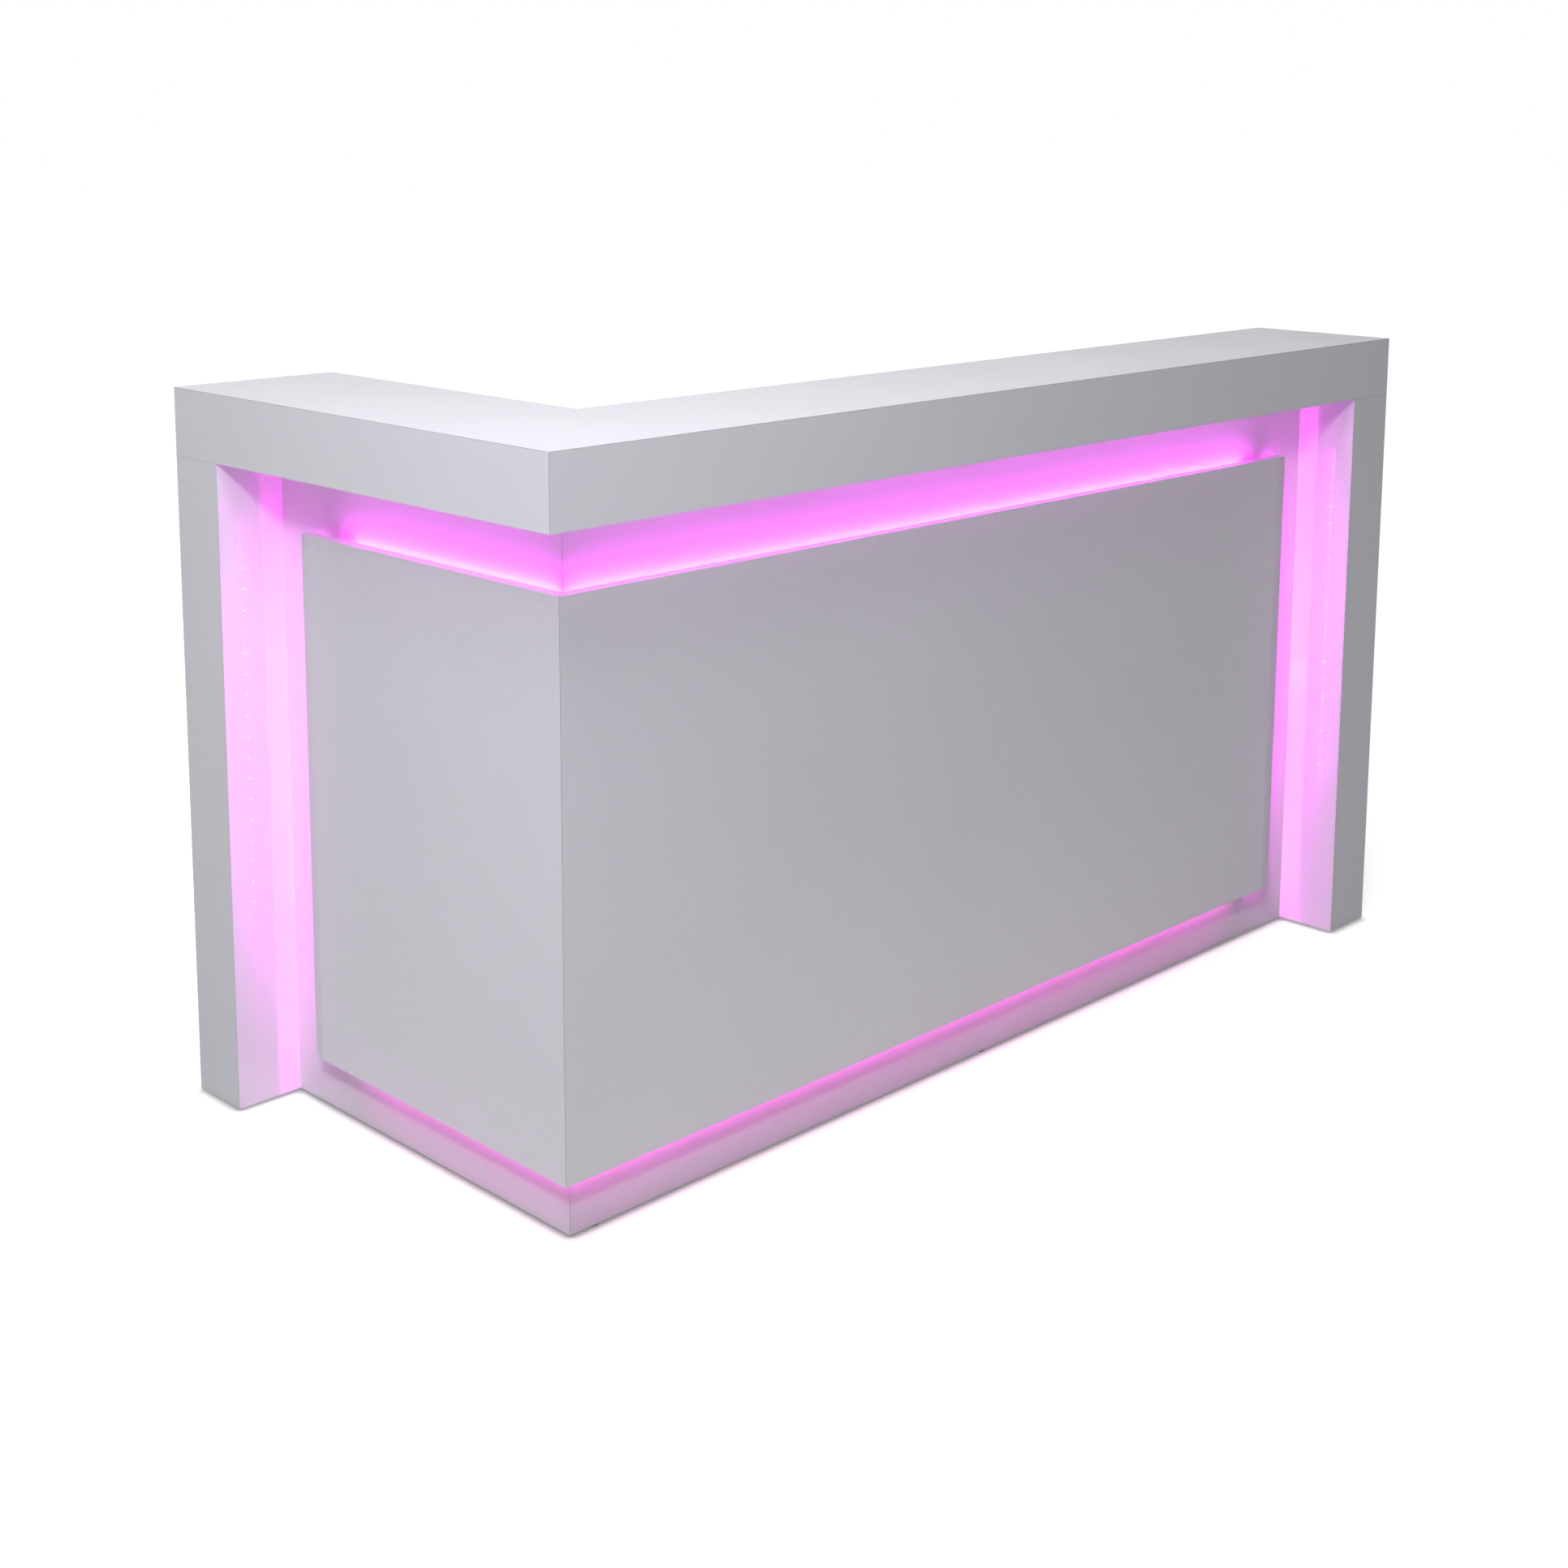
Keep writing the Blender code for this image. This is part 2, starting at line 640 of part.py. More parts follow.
def add_glides(wings):
    """Round glides under the bottom edges of the boards that carry the desk."""
    edge = BOARD / 2
    places = {}
    for wing in wings:
        gable = wing.length - edge
        places[f"glide_{wing.side}_front"] = wing.spot((gable, GLIDE_INSET, 0))
        places[f"glide_{wing.side}_rear"] = wing.spot((gable, SLAB_DEPTH - GLIDE_INSET, 0))
    wall_line = RECESS + edge
    places["glide_corner"] = (WALL_BACK + GLIDE_INSET, wall_line, 0)
    places["glide_wall"] = (LONG / 2, wall_line, 0)
    for side, x in (("left", PEDESTAL_LEFT + edge), ("right", STAFF_RIGHT - edge)):
        places[f"glide_pedestal_{side}_rear"] = (x, PEDESTAL_REAR + GLIDE_INSET, 0)
        places[f"glide_pedestal_{side}_front"] = (x, PEDESTAL_FRONT - GLIDE_INSET, 0)
    for name, foot in places.items():
        middle = Vector(foot) + Vector((0, 0, GLIDE / 2))
        object_from(name, round_shape(middle, GLIDE_RADIUS, GLIDE, (0, 0, 1), ROUND_SIDES), "grey_plastic")


def build_desk():
    clear_scene()
    for name in FINISHES:
        make_finish(name)
    corner = bpy.data.objects.new("desk_corner", None)
    bpy.context.scene.collection.objects.link(corner)
    corner.location = (-LONG / 2, -SHORT / 2, 0)

    wings = (Wing("long", "right", LONG, False), Wing("short", "left", SHORT, True))
    add_slab(wings)
    for wing in wings:
        add_pylon(wing)
        add_front(wing)
    add_corner_strips(wings)
    add_worktop(wings)
    add_pedestal()
    for number, name in enumerate(DRAWER_NAMES):
        add_drawer(name, number)
    add_power_supply()
    add_lead()
    add_glides(wings)


build_desk()
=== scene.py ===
"""Looks of the reception desk: finishes, fine pieces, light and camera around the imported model."""
import math

import bmesh
import bpy
from mathutils import Matrix, Vector


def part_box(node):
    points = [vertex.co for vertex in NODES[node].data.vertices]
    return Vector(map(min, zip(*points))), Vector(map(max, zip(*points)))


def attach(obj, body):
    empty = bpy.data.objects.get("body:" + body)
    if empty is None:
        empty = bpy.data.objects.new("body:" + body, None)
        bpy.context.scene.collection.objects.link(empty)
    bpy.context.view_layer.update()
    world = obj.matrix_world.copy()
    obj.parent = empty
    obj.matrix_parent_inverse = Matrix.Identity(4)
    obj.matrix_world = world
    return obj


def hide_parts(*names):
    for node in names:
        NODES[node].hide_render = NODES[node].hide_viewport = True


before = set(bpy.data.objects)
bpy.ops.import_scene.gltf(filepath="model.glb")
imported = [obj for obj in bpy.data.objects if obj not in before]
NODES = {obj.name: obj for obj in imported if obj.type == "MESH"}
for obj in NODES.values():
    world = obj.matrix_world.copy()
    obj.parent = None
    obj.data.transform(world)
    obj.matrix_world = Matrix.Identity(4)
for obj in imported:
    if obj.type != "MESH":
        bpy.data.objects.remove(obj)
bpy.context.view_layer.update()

# Each wing ends at one side of the desk and runs along one axis: side, wing, axis
WINGS = (("right", "long", 0), ("left", "short", 1))

# Camera, fitted to the photograph's corners
CAMERA_PLACE = (-2.6840, -2.5230, 1.5144)
CAMERA_YAW = 45.271
CAMERA_PITCH = -9.233
CAMERA_ROLL = 0.179
CAMERA_SENSOR = 36.0
CAMERA_LENS = 51.66
CAMERA_SHIFT = (0.0133, -0.20)

# Colour and level of the light strips
STRIP_COLOURS = {
    "top": (0.95, 0.010, 1.0),
    "bottom": (1.0, 0.012, 0.77),
    "left": (1.0, 0.010, 0.99),
    "right": (1.0, 0.042, 1.0),
}
STRIP_LEVELS = {"top": 32.0, "bottom": 17.0, "left": 7.5, "right": 14.0}

# Light packages on the strips; the left ones burn paler, so that the cheek mirrors them as dots
DIE_COLOURS = {**STRIP_COLOURS, "left": (1.0, 0.024, 0.99)}
DIE_LEVELS = {"top": 80.0, "bottom": 68.0, "left": 360.0, "right": 300.0}
DIE_PITCH = 1 / 30
DIE_SIZE = 0.005
DIE_HEIGHT = 0.0014
DIE_SUNK = 0.0001
# How far a package is drawn in, as a share of its half width, and at which share of its height
DIE_PROFILE = ((0, 0), (0, 0.7), (0.14, 1), (0.38, 1), (0.60, 1.12))
# How far the packages sit from the tape's middle towards the wall
DIE_ASIDE = {"top": 0.0, "bottom": 0.0, "left": 0.0024, "right": 0.0024}
# Length at the upper end of an upright strip that carries no packages
DIE_FREE_END = 0.045

# Fine edges, by finish
ARRISES = {
    "white_lacquer": 0.0004, "inner_board": 0.0006, "black_plastic": 0.0012, "grey_plastic": 0.0004,
}
ARRIS_SEGMENTS = 2
ARRIS_ANGLE = math.radians(40)
SMOOTH_ANGLE = math.radians(38)

# Corner of a bar with rounded ends, as a share of its half width
ROUND_END = 0.9

# Worktop edge band
BAND = 0.0020
BAND_FLAT = 0.0004
BAND_CLEAR = 0.0005

# Handles and lock
PULL_BEND = 0.012
ROSETTE_PROFILE = (
    (0.0090, 0.0), (0.0090, 0.0012), (0.0082, 0.0022), (0.0060, 0.0030), (0.0050, 0.0036),
)
LOCK_FROM_END = 0.045
LOCK_COLLAR = (
    (0.0066, 0.0), (0.0100, 0.0), (0.0100, 0.0014),
    (0.0092, 0.0024), (0.0070, 0.0026), (0.0066, 0.0022),
)
LOCK_PLAY = 0.0001
LOCK_PLUG = 0.0016
LOCK_SLIT = 0.0007
LOCK_SLIT_FLOOR = LOCK_PLUG / 4

# Hems of the trays; on each side a tongue that runs in the channel stands out from the wall
TRAY_SHEET = 0.0015
TRAY_TONGUE = 0.0112
HEM_RADIUS = 0.0019
HEM_BEND = 0.004

# Power supply: ribs, lugs, gland and inlet pins
RIB_COUNT = 15
RIB_START = 0.020
RIB_PITCH = 0.0062
RIB_HALF = 0.0013
RIB_REACH = 0.021
RIB_LEVELS = ((0, -0.0002), (0, 0.0010), (0.0004, 0.0015))
LUG_HALF = 0.0085
LUG_REACH = 0.015
LUG_LEVELS = ((0, 0), (0, 0.0022), (0.0006, 0.0030))
GLAND_PROFILE = (
    (0.0062, -0.0002), (0.0062, 0.0018), (0.0052, 0.0024), (0.0050, 0.0036), (0.0044, 0.0038),
    (0.0044, 0.0048), (0.0047, 0.0050), (0.0046, 0.0062), (0.0040, 0.0064), (0.0040, 0.0074),
    (0.0042, 0.0076), (0.0040, 0.0090), (0.0027, 0.0096),
)
PIN_ROOT = 0.0142
PIN_PLACES = ((-0.0060, -0.0018), (0.0060, -0.0018), (0.0, 0.0030))
PIN_HALF = (0.0020, 0.0010)
PIN_LEVELS = ((0, 0), (0, 0.0100), (0.0006, 0.0112))

# Marks on the rocker, on the faces whose normals point at least this much to the staff
ROCKER_FACING = 0.8
MARK_HALF = 0.0004
MARK_REACH = 0.0024
MARK_LEVELS = ((0, -0.0001), (0, 0.00012), (0.0001, 0.00018))

# Screws and cover caps
SCREW_PROFILE = ((0.0042, -0.0002), (0.0042, 0.0007), (0.0034, 0.0019), (0.0016, 0.0024))
SCREW_CROSS = (0.0014, 0.0003)
SCREW_CROSS_LEVELS = (-0.0004, 0.00005)
SCREW_PITCH = 0.32
SCREW_MARGINS = {"long": 0.05, "short": 0.08}
CAP_PROFILE = (
    (0.0068, 0.0), (0.0068, 0.0006), (0.0058, 0.0014), (0.0030, 0.0018), (0.0008, 0.0019),
)
CAP_PITCH = 1.0
CAP_MARGIN = 0.06
CAP_OVER_FOOT = 0.030
CAP_UNDER_HEAD = 0.060

# Floor: its tone where it is seen and where it throws light back
FLOOR_SIZE = 60.0
FLOOR_SEEN = 0.60
FLOOR_BOUNCE = 0.43
# Distance from the desk and the floor's own glow there: low at the desk's foot, white far off; the
# low glow near the foot is painted shade, laid over the desk's real shadow there
FLOOR_GLOWS = ((0.0, 0.50), (0.02, 0.68), (0.05, 0.74), (0.35, 0.82), (1.2, 0.95), (2.5, 1.0))
# Shade where the desk stands close over the floor, deepest where this share of the sky is left
CONTACT_REACH = 0.018
CONTACT_SHADE = 0.42
CONTACT_DEEPEST = 0.5
CONTACT_SAMPLES = 8

# Soft light of the room: place, target, size and power of each lamp
ROOM_TINT = (0.946, 0.935, 1.0)
SKY_LEVEL = 0.100
ROOM_LAMPS = {
    "key": ((-3.06, -2.38, 3.0), (-0.7, -0.3, 0.5), (0.4, 0.4), 64.5),
    "key_short": ((-2.8, -0.4, 3.4), (-0.9, -0.1, 0.7), (0.8, 0.8), 25.4),
    "ceiling_front": ((-1.7, -1.1, 3.2), (-0.9, -0.4, 0.7), (0.8, 0.8), 26.5),
    "ceiling_right": ((0.4, 0.1, 3.2), (0.3, 0.0, 0.5), (1.4, 1.4), 8.0),
    "front_low": ((-1.2, -3.2, 0.7), (-0.6, -0.4, 0.5), (0.9, 0.9), 2.3),
    "front_far": ((0.6, -6.0, 1.0), (0.3, -0.4, 0.6), (2.4, 1.6), 1.6),
}
# Fills for the staff side, which leave out the top and the floor
STAFF_FILLS = {
    "staff_fill": ((1.6, 2.8, 2.6), (0.1, 0.1, 0.6), (2.0, 2.0), 90.0),
    "right_fill": ((4.0, 0.7, 1.6), (0.98, 0.0, 0.6), (1.6, 1.6), 40.0),
}
# Light that the floor throws back on the lower halves of the front panels
FLOOR_TINT = (0.89, 1.0, 0.73)
FLOOR_FILLS = {
    "floor_fill_long": ((-0.2, -0.78, 0.03), (-0.2, -0.36, 0.10), (1.6, 0.06), 0.33),
    "floor_fill_short": ((-1.32, -0.05, 0.03), (-0.90, -0.05, 0.10), (0.7, 0.06), 0.11),
}

# Width of the thin lamps in the slot
SLOT_LINE = 0.002
# Glow from deep in the slot behind each panel's end
SLOT_REACH = 0.036
SLOT_OFF_WALL = 0.008
SLOT_ENDS = (0.004, 0.036)
SLOT_GLOWS = {"left": (1.0, 0.029, 0.88), "right": (1.0, 0.079, 0.88)}
SLOT_POWERS = {"left": 1.30, "right": 2.75}
# Pink that comes round the panel's lower end to the cheek's foot
FOOT_LENGTH = 0.02
FOOT_GLOW = (1.0, 0.20, 1.0)
FOOT_POWERS = {"left": 0.025, "right": 0.083}
# Pink that soffit and cheek throw back on the wall's upper corners
CORNER_OFF_WALL = 0.100
CORNER_PAST = 0.030
CORNER_RISE = 0.035
CORNER_SIZE = 0.060
CORNER_GLOW = (1.0, 0.10, 1.0)
CORNER_POWERS = {"left": 0.018, "right": 0.020}
# White core of the light along the upper edges of the panels, in watts a metre
CORE_POWER = 0.064
CORE_GLOW = (1, 1, 1)
CORE_OFF_WALL = 0.008
CORE_RISE = 0.002
CORE_SHORT = 0.02


# Node helpers

class Nodes:
    """A node tree being built: makes nodes, sets their sockets and joins them."""

    def __init__(self, tree):
        self.tree = tree

    def put(self, socket, value):
        if isinstance(value, bpy.types.NodeSocket):
            self.tree.links.new(value, socket)
        else:
            socket.default_value = value

    def node(self, kind, settings=None, **sockets):
        """A node with its sockets set by name, a space in a name given as an underscore."""
        made = self.tree.nodes.new(kind)
        for name, value in (settings or {}).items():
            setattr(made, name, value)
        for name, value in sockets.items():
            self.put(made.inputs[name.replace("_", " ")], value)
        return made

    def fed(self, kind, *values, **settings):
        """The first output of a node whose inputs take the values in turn."""
        made = self.node(kind, settings)
        for socket, value in zip(made.inputs, values):
            self.put(socket, value)
        return made.outputs[0]

    def calc(self, operation, first, second):
        return self.fed("ShaderNodeMath", first, second, operation=operation)

    def vector(self, operation, *values):
        return self.fed("ShaderNodeVectorMath", *values, operation=operation)

    def length(self, value):
        made = self.node("ShaderNodeVectorMath", {"operation": "LENGTH"})
        self.put(made.inputs[0], value)
        return made.outputs["Value"]

    def spanned(self, value, **ends):
        """A number carried over from one span to another."""
        return self.node("ShaderNodeMapRange", Value=value, **ends).outputs["Result"]


class Shade(Nodes):
    """A material on the stock shader, patterned in the piece's own coordinates."""

    # Where the noise changes from the one value to the other
    NOISE_SPAN = {"From_Min": 0.3, "From_Max": 0.7}
    # The mix node's colour sockets, among those that it keeps for other kinds of data
    MIX_COLOURS = (6, 7)
    MIX_RESULT = 2

    def __init__(self, name):
        self.material = bpy.data.materials.new(name)
        self.material.use_nodes = True
        super().__init__(self.material.node_tree)
        self.shader = self.tree.nodes["Principled BSDF"]
        self.place = self.node("ShaderNodeTexCoord").outputs["Object"]

    def set(self, **sockets):
        for name, value in sockets.items():
            self.put(self.shader.inputs[name.replace("_", " ")], value)

    def noise(self, scale, detail=3.0, roughness=0.55, place=None):
        place = self.place if place is None else place
        made = self.node(
            "ShaderNodeTexNoise", Vector=place, Scale=scale, Detail=detail, Roughness=roughness,
        )
        return made.outputs["Fac"]

    def levels(self, noise, low, high):
        """A number that runs between two values as the noise does."""
        return self.spanned(noise, To_Min=low, To_Max=high, **self.NOISE_SPAN)

    def tones(self, noise, dark, light):
        """A colour that runs between two tones as the noise does."""
        mix = self.node("ShaderNodeMix", {"data_type": "RGBA"})
        self.put(mix.inputs["Factor"], self.spanned(noise, **self.NOISE_SPAN))
        for socket, tone in zip(self.MIX_COLOURS, (dark, light)):
            self.put(mix.inputs[socket], (*tone, 1.0))
        return mix.outputs[self.MIX_RESULT]

    def bump(self, height, strength, depth):
        made = self.node("ShaderNodeBump", Strength=strength, Distance=depth, Height=height)
        self.set(Normal=made.outputs["Normal"])


# Materials: a grain is a noise's scale and detail, a bump its strength and depth

def coat(name, tones, tone_grain, rough, rough_grain, bump, bump_grain, metallic=0.0):
    """A coating with an uneven tone, an uneven gloss and a fine bump."""
    shade = Shade(name)
    shade.set(
        Base_Color=shade.tones(shade.noise(*tone_grain), *tones),
        Roughness=shade.levels(shade.noise(*rough_grain), *rough),
        Metallic=metallic,
    )
    shade.bump(shade.noise(*bump_grain), *bump)
    return shade.material


def grained(name, scales, detail, roughness, tones, rough, bump, metallic=0.0):
    """A material whose tone, gloss and bump follow one grain, drawn out along an axis."""
    shade = Shade(name)
    lines = shade.noise(1.0, detail, roughness, shade.vector("MULTIPLY", shade.place, scales))
    shade.set(
        Base_Color=shade.tones(lines, *tones),
        Roughness=shade.levels(lines, *rough),
        Metallic=metallic,
    )
    shade.bump(lines, *bump)
    return shade.material


def lit(name, tones, tone_scale, rough, rough_scale, colour, level):
    """A pale surface that gives light."""
    shade = Shade(name)
    shade.set(
        Base_Color=shade.tones(shade.noise(tone_scale), *tones),
        Roughness=shade.levels(shade.noise(rough_scale), *rough),
        Emission_Color=(*colour, 1.0),
        Emission_Strength=level,
    )
    return shade.material


def lacquer(name, rough):
    return coat(
        name,
        tones=((0.800, 0.802, 0.825), (0.830, 0.832, 0.852)), tone_grain=(2.5, 4.0),
        rough=rough, rough_grain=(7.0, 6.0),
        bump=(0.006, 0.0003), bump_grain=(650.0, 2.0),
    )


def melamine():
    return coat(
        "pearl_melamine",
        tones=((0.735, 0.737, 0.742), (0.785, 0.787, 0.790)), tone_grain=(380.0, 2.0),
        rough=(0.38, 0.50), rough_grain=(9.0, 4.0),
        bump=(0.25, 0.0002), bump_grain=(900.0, 3.0),
    )


def sheet_steel():
    return coat(
        "coated_steel",
        tones=((0.50, 0.51, 0.53), (0.60, 0.61, 0.63)), tone_grain=(260.0, 3.0),
        rough=(0.32, 0.46), rough_grain=(30.0, 4.0),
        bump=(0.15, 0.0002), bump_grain=(1200.0, 2.0), metallic=0.85,
    )


def plastic(name, dark, light, rough):
    """Moulded plastic with a fine spark texture."""
    return coat(
        name,
        tones=(dark, light), tone_grain=(200.0, 3.0),
        rough=rough, rough_grain=(60.0, 3.0),
        bump=(0.35, 0.0002), bump_grain=(1500.0, 2.0),
    )


def pine(axis):
    """Softwood whose grain runs along one axis."""
    scales = [55.0, 55.0, 55.0]
    scales[axis] = 2.5
    return grained(
        f"pine_along_{'xyz'[axis]}", scales, detail=6.0, roughness=0.6,
        tones=((0.42, 0.27, 0.14), (0.66, 0.49, 0.31)), rough=(0.62, 0.80), bump=(0.35, 0.0006),
    )


def aluminium():
    return grained(
        "satin_aluminium_bar", (40.0, 1800.0, 1800.0), detail=4.0, roughness=0.7,
        tones=((0.68, 0.69, 0.71), (0.80, 0.81, 0.83)), rough=(0.22, 0.36), bump=(0.12, 0.0001),
        metallic=1.0,
    )


def strip_tape(place):
    """White flexible tape under a clear cover that carries the light along it."""
    return lit(
        f"lit_tape_{place}",
        tones=((0.80, 0.74, 0.80), (0.88, 0.84, 0.88)), tone_scale=300.0,
        rough=(0.30, 0.45), rough_scale=120.0,
        colour=STRIP_COLOURS[place], level=STRIP_LEVELS[place],
    )


def die_lens(place):
    return lit(
        f"lit_lens_{place}",
        tones=((0.85, 0.75, 0.80), (0.95, 0.88, 0.92)), tone_scale=900.0,
        rough=(0.15, 0.30), rough_scale=500.0,
        colour=DIE_COLOURS[place], level=DIE_LEVELS[place],
    )


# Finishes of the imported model

FINISHES = {
    "white_lacquer": lacquer("high_gloss_lacquer", (0.035, 0.06)),
    "inner_board": melamine(),
    "sheet_steel": sheet_steel(),
    "satin_aluminium": aluminium(),
    "black_plastic": plastic(
        "black_moulding", (0.018, 0.018, 0.020), (0.032, 0.032, 0.035), (0.39, 0.51),
    ),
    "grey_plastic": plastic("grey_moulding", (0.29, 0.30, 0.32), (0.38, 0.39, 0.41), (0.42, 0.54)),
    "white_cable": plastic(
        "white_cable_jacket", (0.74, 0.74, 0.74), (0.82, 0.82, 0.82), (0.39, 0.51),
    ),
}
EDGE_BAND = plastic("edge_band", (0.70, 0.70, 0.705), (0.75, 0.75, 0.755), (0.34, 0.46))
TOP_LACQUER = lacquer("satin_lacquer", (0.42, 0.50))
WALL_LACQUER = lacquer("silk_lacquer", (0.20, 0.27))
PINE = [pine(axis) for axis in range(3)]


def grain_axis(name):
    low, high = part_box(name)
    spans = list(high - low)
    return spans.index(max(spans))


def finish_of(name, stated):
    """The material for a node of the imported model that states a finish."""
    if stated == "raw_batten":
        return PINE[grain_axis(name)]
    if stated == "light_strip":
        return strip_tape(name.removeprefix("led_strip_"))
    if name == "counter_top":
        return TOP_LACQUER
    if name in ("wall_long", "wall_short"):
        return WALL_LACQUER
    return FINISHES[stated]


def dress_nodes():
    """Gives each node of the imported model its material, and its boards a fine edge."""
    for name, node in NODES.items():
        stated = node.material_slots[0].material.name.split(".")[0]
        node.material_slots[0].material = finish_of(name, stated)
        if stated in ARRISES:
            edge = node.modifiers.new("arris", "BEVEL")
            edge.width = ARRISES[stated]
            edge.segments = ARRIS_SEGMENTS
            edge.limit_method = "ANGLE"
            edge.angle_limit = ARRIS_ANGLE


# Shape helpers for the fine pieces

def new_piece(name, shape, body, slot, *materials):
    """A mesh piece from a bmesh drawn in the row frame."""
    bmesh.ops.recalc_face_normals(shape, faces=shape.faces)
    mesh = bpy.data.meshes.new(name)
    shape.to_mesh(mesh)
    shape.free()
    mesh.shade_smooth()
    mesh.set_sharp_from_angle(angle=SMOOTH_ANGLE)
    piece = bpy.data.objects.new(name, mesh)
    bpy.context.scene.collection.objects.link(piece)
    for material in materials:
        mesh.materials.append(material)
    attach(piece, body)
    return piece


def unit(axis):
    ahead = Vector((0, 0, 0))
    ahead[axis] = 1
    return ahead


def seat(place, out):
    """A local frame at a place, its Z axis pointing out of the surface there."""
    turn = Vector((0, 0, 1)).rotation_difference(Vector(out)).to_matrix().to_4x4()
    return Matrix.Translation(place) @ turn


def loft(shape, rings, closed=False, materials=()):
    """Skins rings of equal counts; the ends are capped, or joined when closed."""
    loops = [[shape.verts.new(spot) for spot in ring] for ring in rings]
    pairs = list(zip(loops, loops[1:]))
    if closed:
        pairs.append((loops[-1], loops[0]))
    for number, (lower, upper) in enumerate(pairs):
        for index in range(len(lower)):
            after = (index + 1) % len(lower)
            side = shape.faces.new((lower[index], lower[after], upper[after], upper[index]))
            side.material_index = materials[number] if materials else 0
    if not closed:
        shape.faces.new(list(reversed(loops[0]))).material_index = materials[0] if materials else 0
        shape.faces.new(loops[-1]).material_index = materials[-1] if materials else 0


def arc(radius, start, end, steps):
    """Points on a circle, angles in degrees."""
    turns = [math.radians(start + (end - start) * step / steps) for step in range(steps + 1)]
    return [(radius * math.cos(turn), radius * math.sin(turn)) for turn in turns]


def turned(shape, base, profile, closed=False, sides=32, materials=()):
    """A profile of (radius, level) turned round the base's Z axis."""
    circle = arc(1.0, 0, 360, sides)[:-1]
    rings = [
        [base @ Vector((x * radius, y * radius, level)) for x, y in circle]
        for radius, level in profile
    ]
    loft(shape, rings, closed, materials)


def rounded_outline(half_x, half_y, corner):
    spots = []
    for number, (x, y) in enumerate(((1, 1), (-1, 1), (-1, -1), (1, -1))):
        middle = (x * (half_x - corner), y * (half_y - corner))
        start = 90 * number
        bend = arc(corner, start, start + 90, steps=4)
        spots += [(middle[0] + u, middle[1] + v) for u, v in bend]
    return spots


def plate(shape, base, half_x, half_y, corner, levels, materials=()):
    """A round-cornered plate; each level gives how far the outline is drawn in there."""
    rings = []
    for inset, level in levels:
        left = max(corner - inset, corner / 4)
        outline = rounded_outline(half_x - inset, half_y - inset, left)
        rings.append([base @ Vector((x, y, level)) for x, y in outline])
    loft(shape, rings, materials=materials)


def swept(shape, route, radius, sides):
    """A round tube along points, its rings square to the route and without twist."""
    route = [Vector(spot) for spot in route]
    ahead = [(b - a).normalized() for a, b in zip(route, route[1:])]
    bends = [(a + b).normalized() for a, b in zip(ahead, ahead[1:])]
    tangents = [ahead[0]] + bends + [ahead[-1]]
    side = tangents[0].orthogonal().normalized()
    circle = arc(radius, 0, 360, sides)[:-1]
    rings = []
    last = tangents[0]
    for spot, tangent in zip(route, tangents):
        side = last.rotation_difference(tangent) @ side
        last = tangent
        other = tangent.cross(side)
        rings.append([spot + side * x + other * y for x, y in circle])
    loft(shape, rings)


def screw_head(shape, place, out):
    """A pan head with a cross recess, the cross in the second material."""
    base = seat(place, out)
    turned(shape, base, SCREW_PROFILE, sides=24, materials=(0, 0, 0))
    reach, half = SCREW_CROSS
    cross = []
    for turn in range(4):
        spin = Matrix.Rotation(turn * math.pi / 2, 2)
        cross += [spin @ Vector(spot) for spot in ((reach, half), (half, half), (half, reach))]
    top = SCREW_PROFILE[-1][1]
    levels = [top + level for level in SCREW_CROSS_LEVELS]
    rings = [[base @ Vector((*spot, level)) for spot in cross] for level in levels]
    loft(shape, rings, materials=(1,))


# Light packages on the strips

def add_die(shape, centre, out):
    """One small light package: a chamfered body with a raised lens on its face."""
    half = DIE_SIZE / 2
    levels = [(inset * half, level * DIE_HEIGHT) for inset, level in DIE_PROFILE]
    plate(shape, seat(centre, out), half, half, half / 4, levels, materials=(0, 0, 0, 1))


def die_line(shape, start, end, out):
    run = Vector(end) - Vector(start)
    count = int(run.length / DIE_PITCH)
    margin = (run.length - (count - 1) * DIE_PITCH) / 2
    for number in range(count):
        add_die(shape, Vector(start) + run.normalized() * (margin + number * DIE_PITCH), out)


def die_piece(place, shape):
    body_white = FINISHES["white_cable"]
    return new_piece(f"led_dies_{place}", shape, "desk", "light_strip", body_white, die_lens(place))


def add_level_dies(place, out):
    """Light packages round the corner on the upper or the lower strip."""
    left_low, left_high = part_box("led_strip_left")
    low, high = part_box(f"led_strip_{place}")
    middle = (left_high.x - left_low.x) / 2
    x = low.x + middle + DIE_ASIDE[place]
    y = low.y + middle + DIE_ASIDE[place]
    z = (high.z if out > 0 else low.z) - out * DIE_SUNK
    shape = bmesh.new()
    die_line(shape, (x + DIE_PITCH / 2, y, z), (high.x, y, z), (0, 0, out))
    die_line(shape, (x, y + DIE_PITCH / 2, z), (x, high.y, z), (0, 0, out))
    return die_piece(place, shape)


def add_upright_dies(side, axis):
    """Light packages on a strip at a panel's end."""
    low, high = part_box(f"led_strip_{side}")
    middle = (low + high) / 2
    middle[axis] = high[axis] - DIE_SUNK
    middle[1 - axis] += DIE_ASIDE[side]
    crown = high.z - DIE_FREE_END
    shape = bmesh.new()
    die_line(shape, (middle.x, middle.y, low.z), (middle.x, middle.y, crown), unit(axis))
    return die_piece(side, shape)


def add_dies():
    lights = [add_level_dies(place, out) for place, out in (("top", 1), ("bottom", -1))]
    return lights + [add_upright_dies(side, axis) for side, _, axis in WINGS]


# Fittings of the staff side

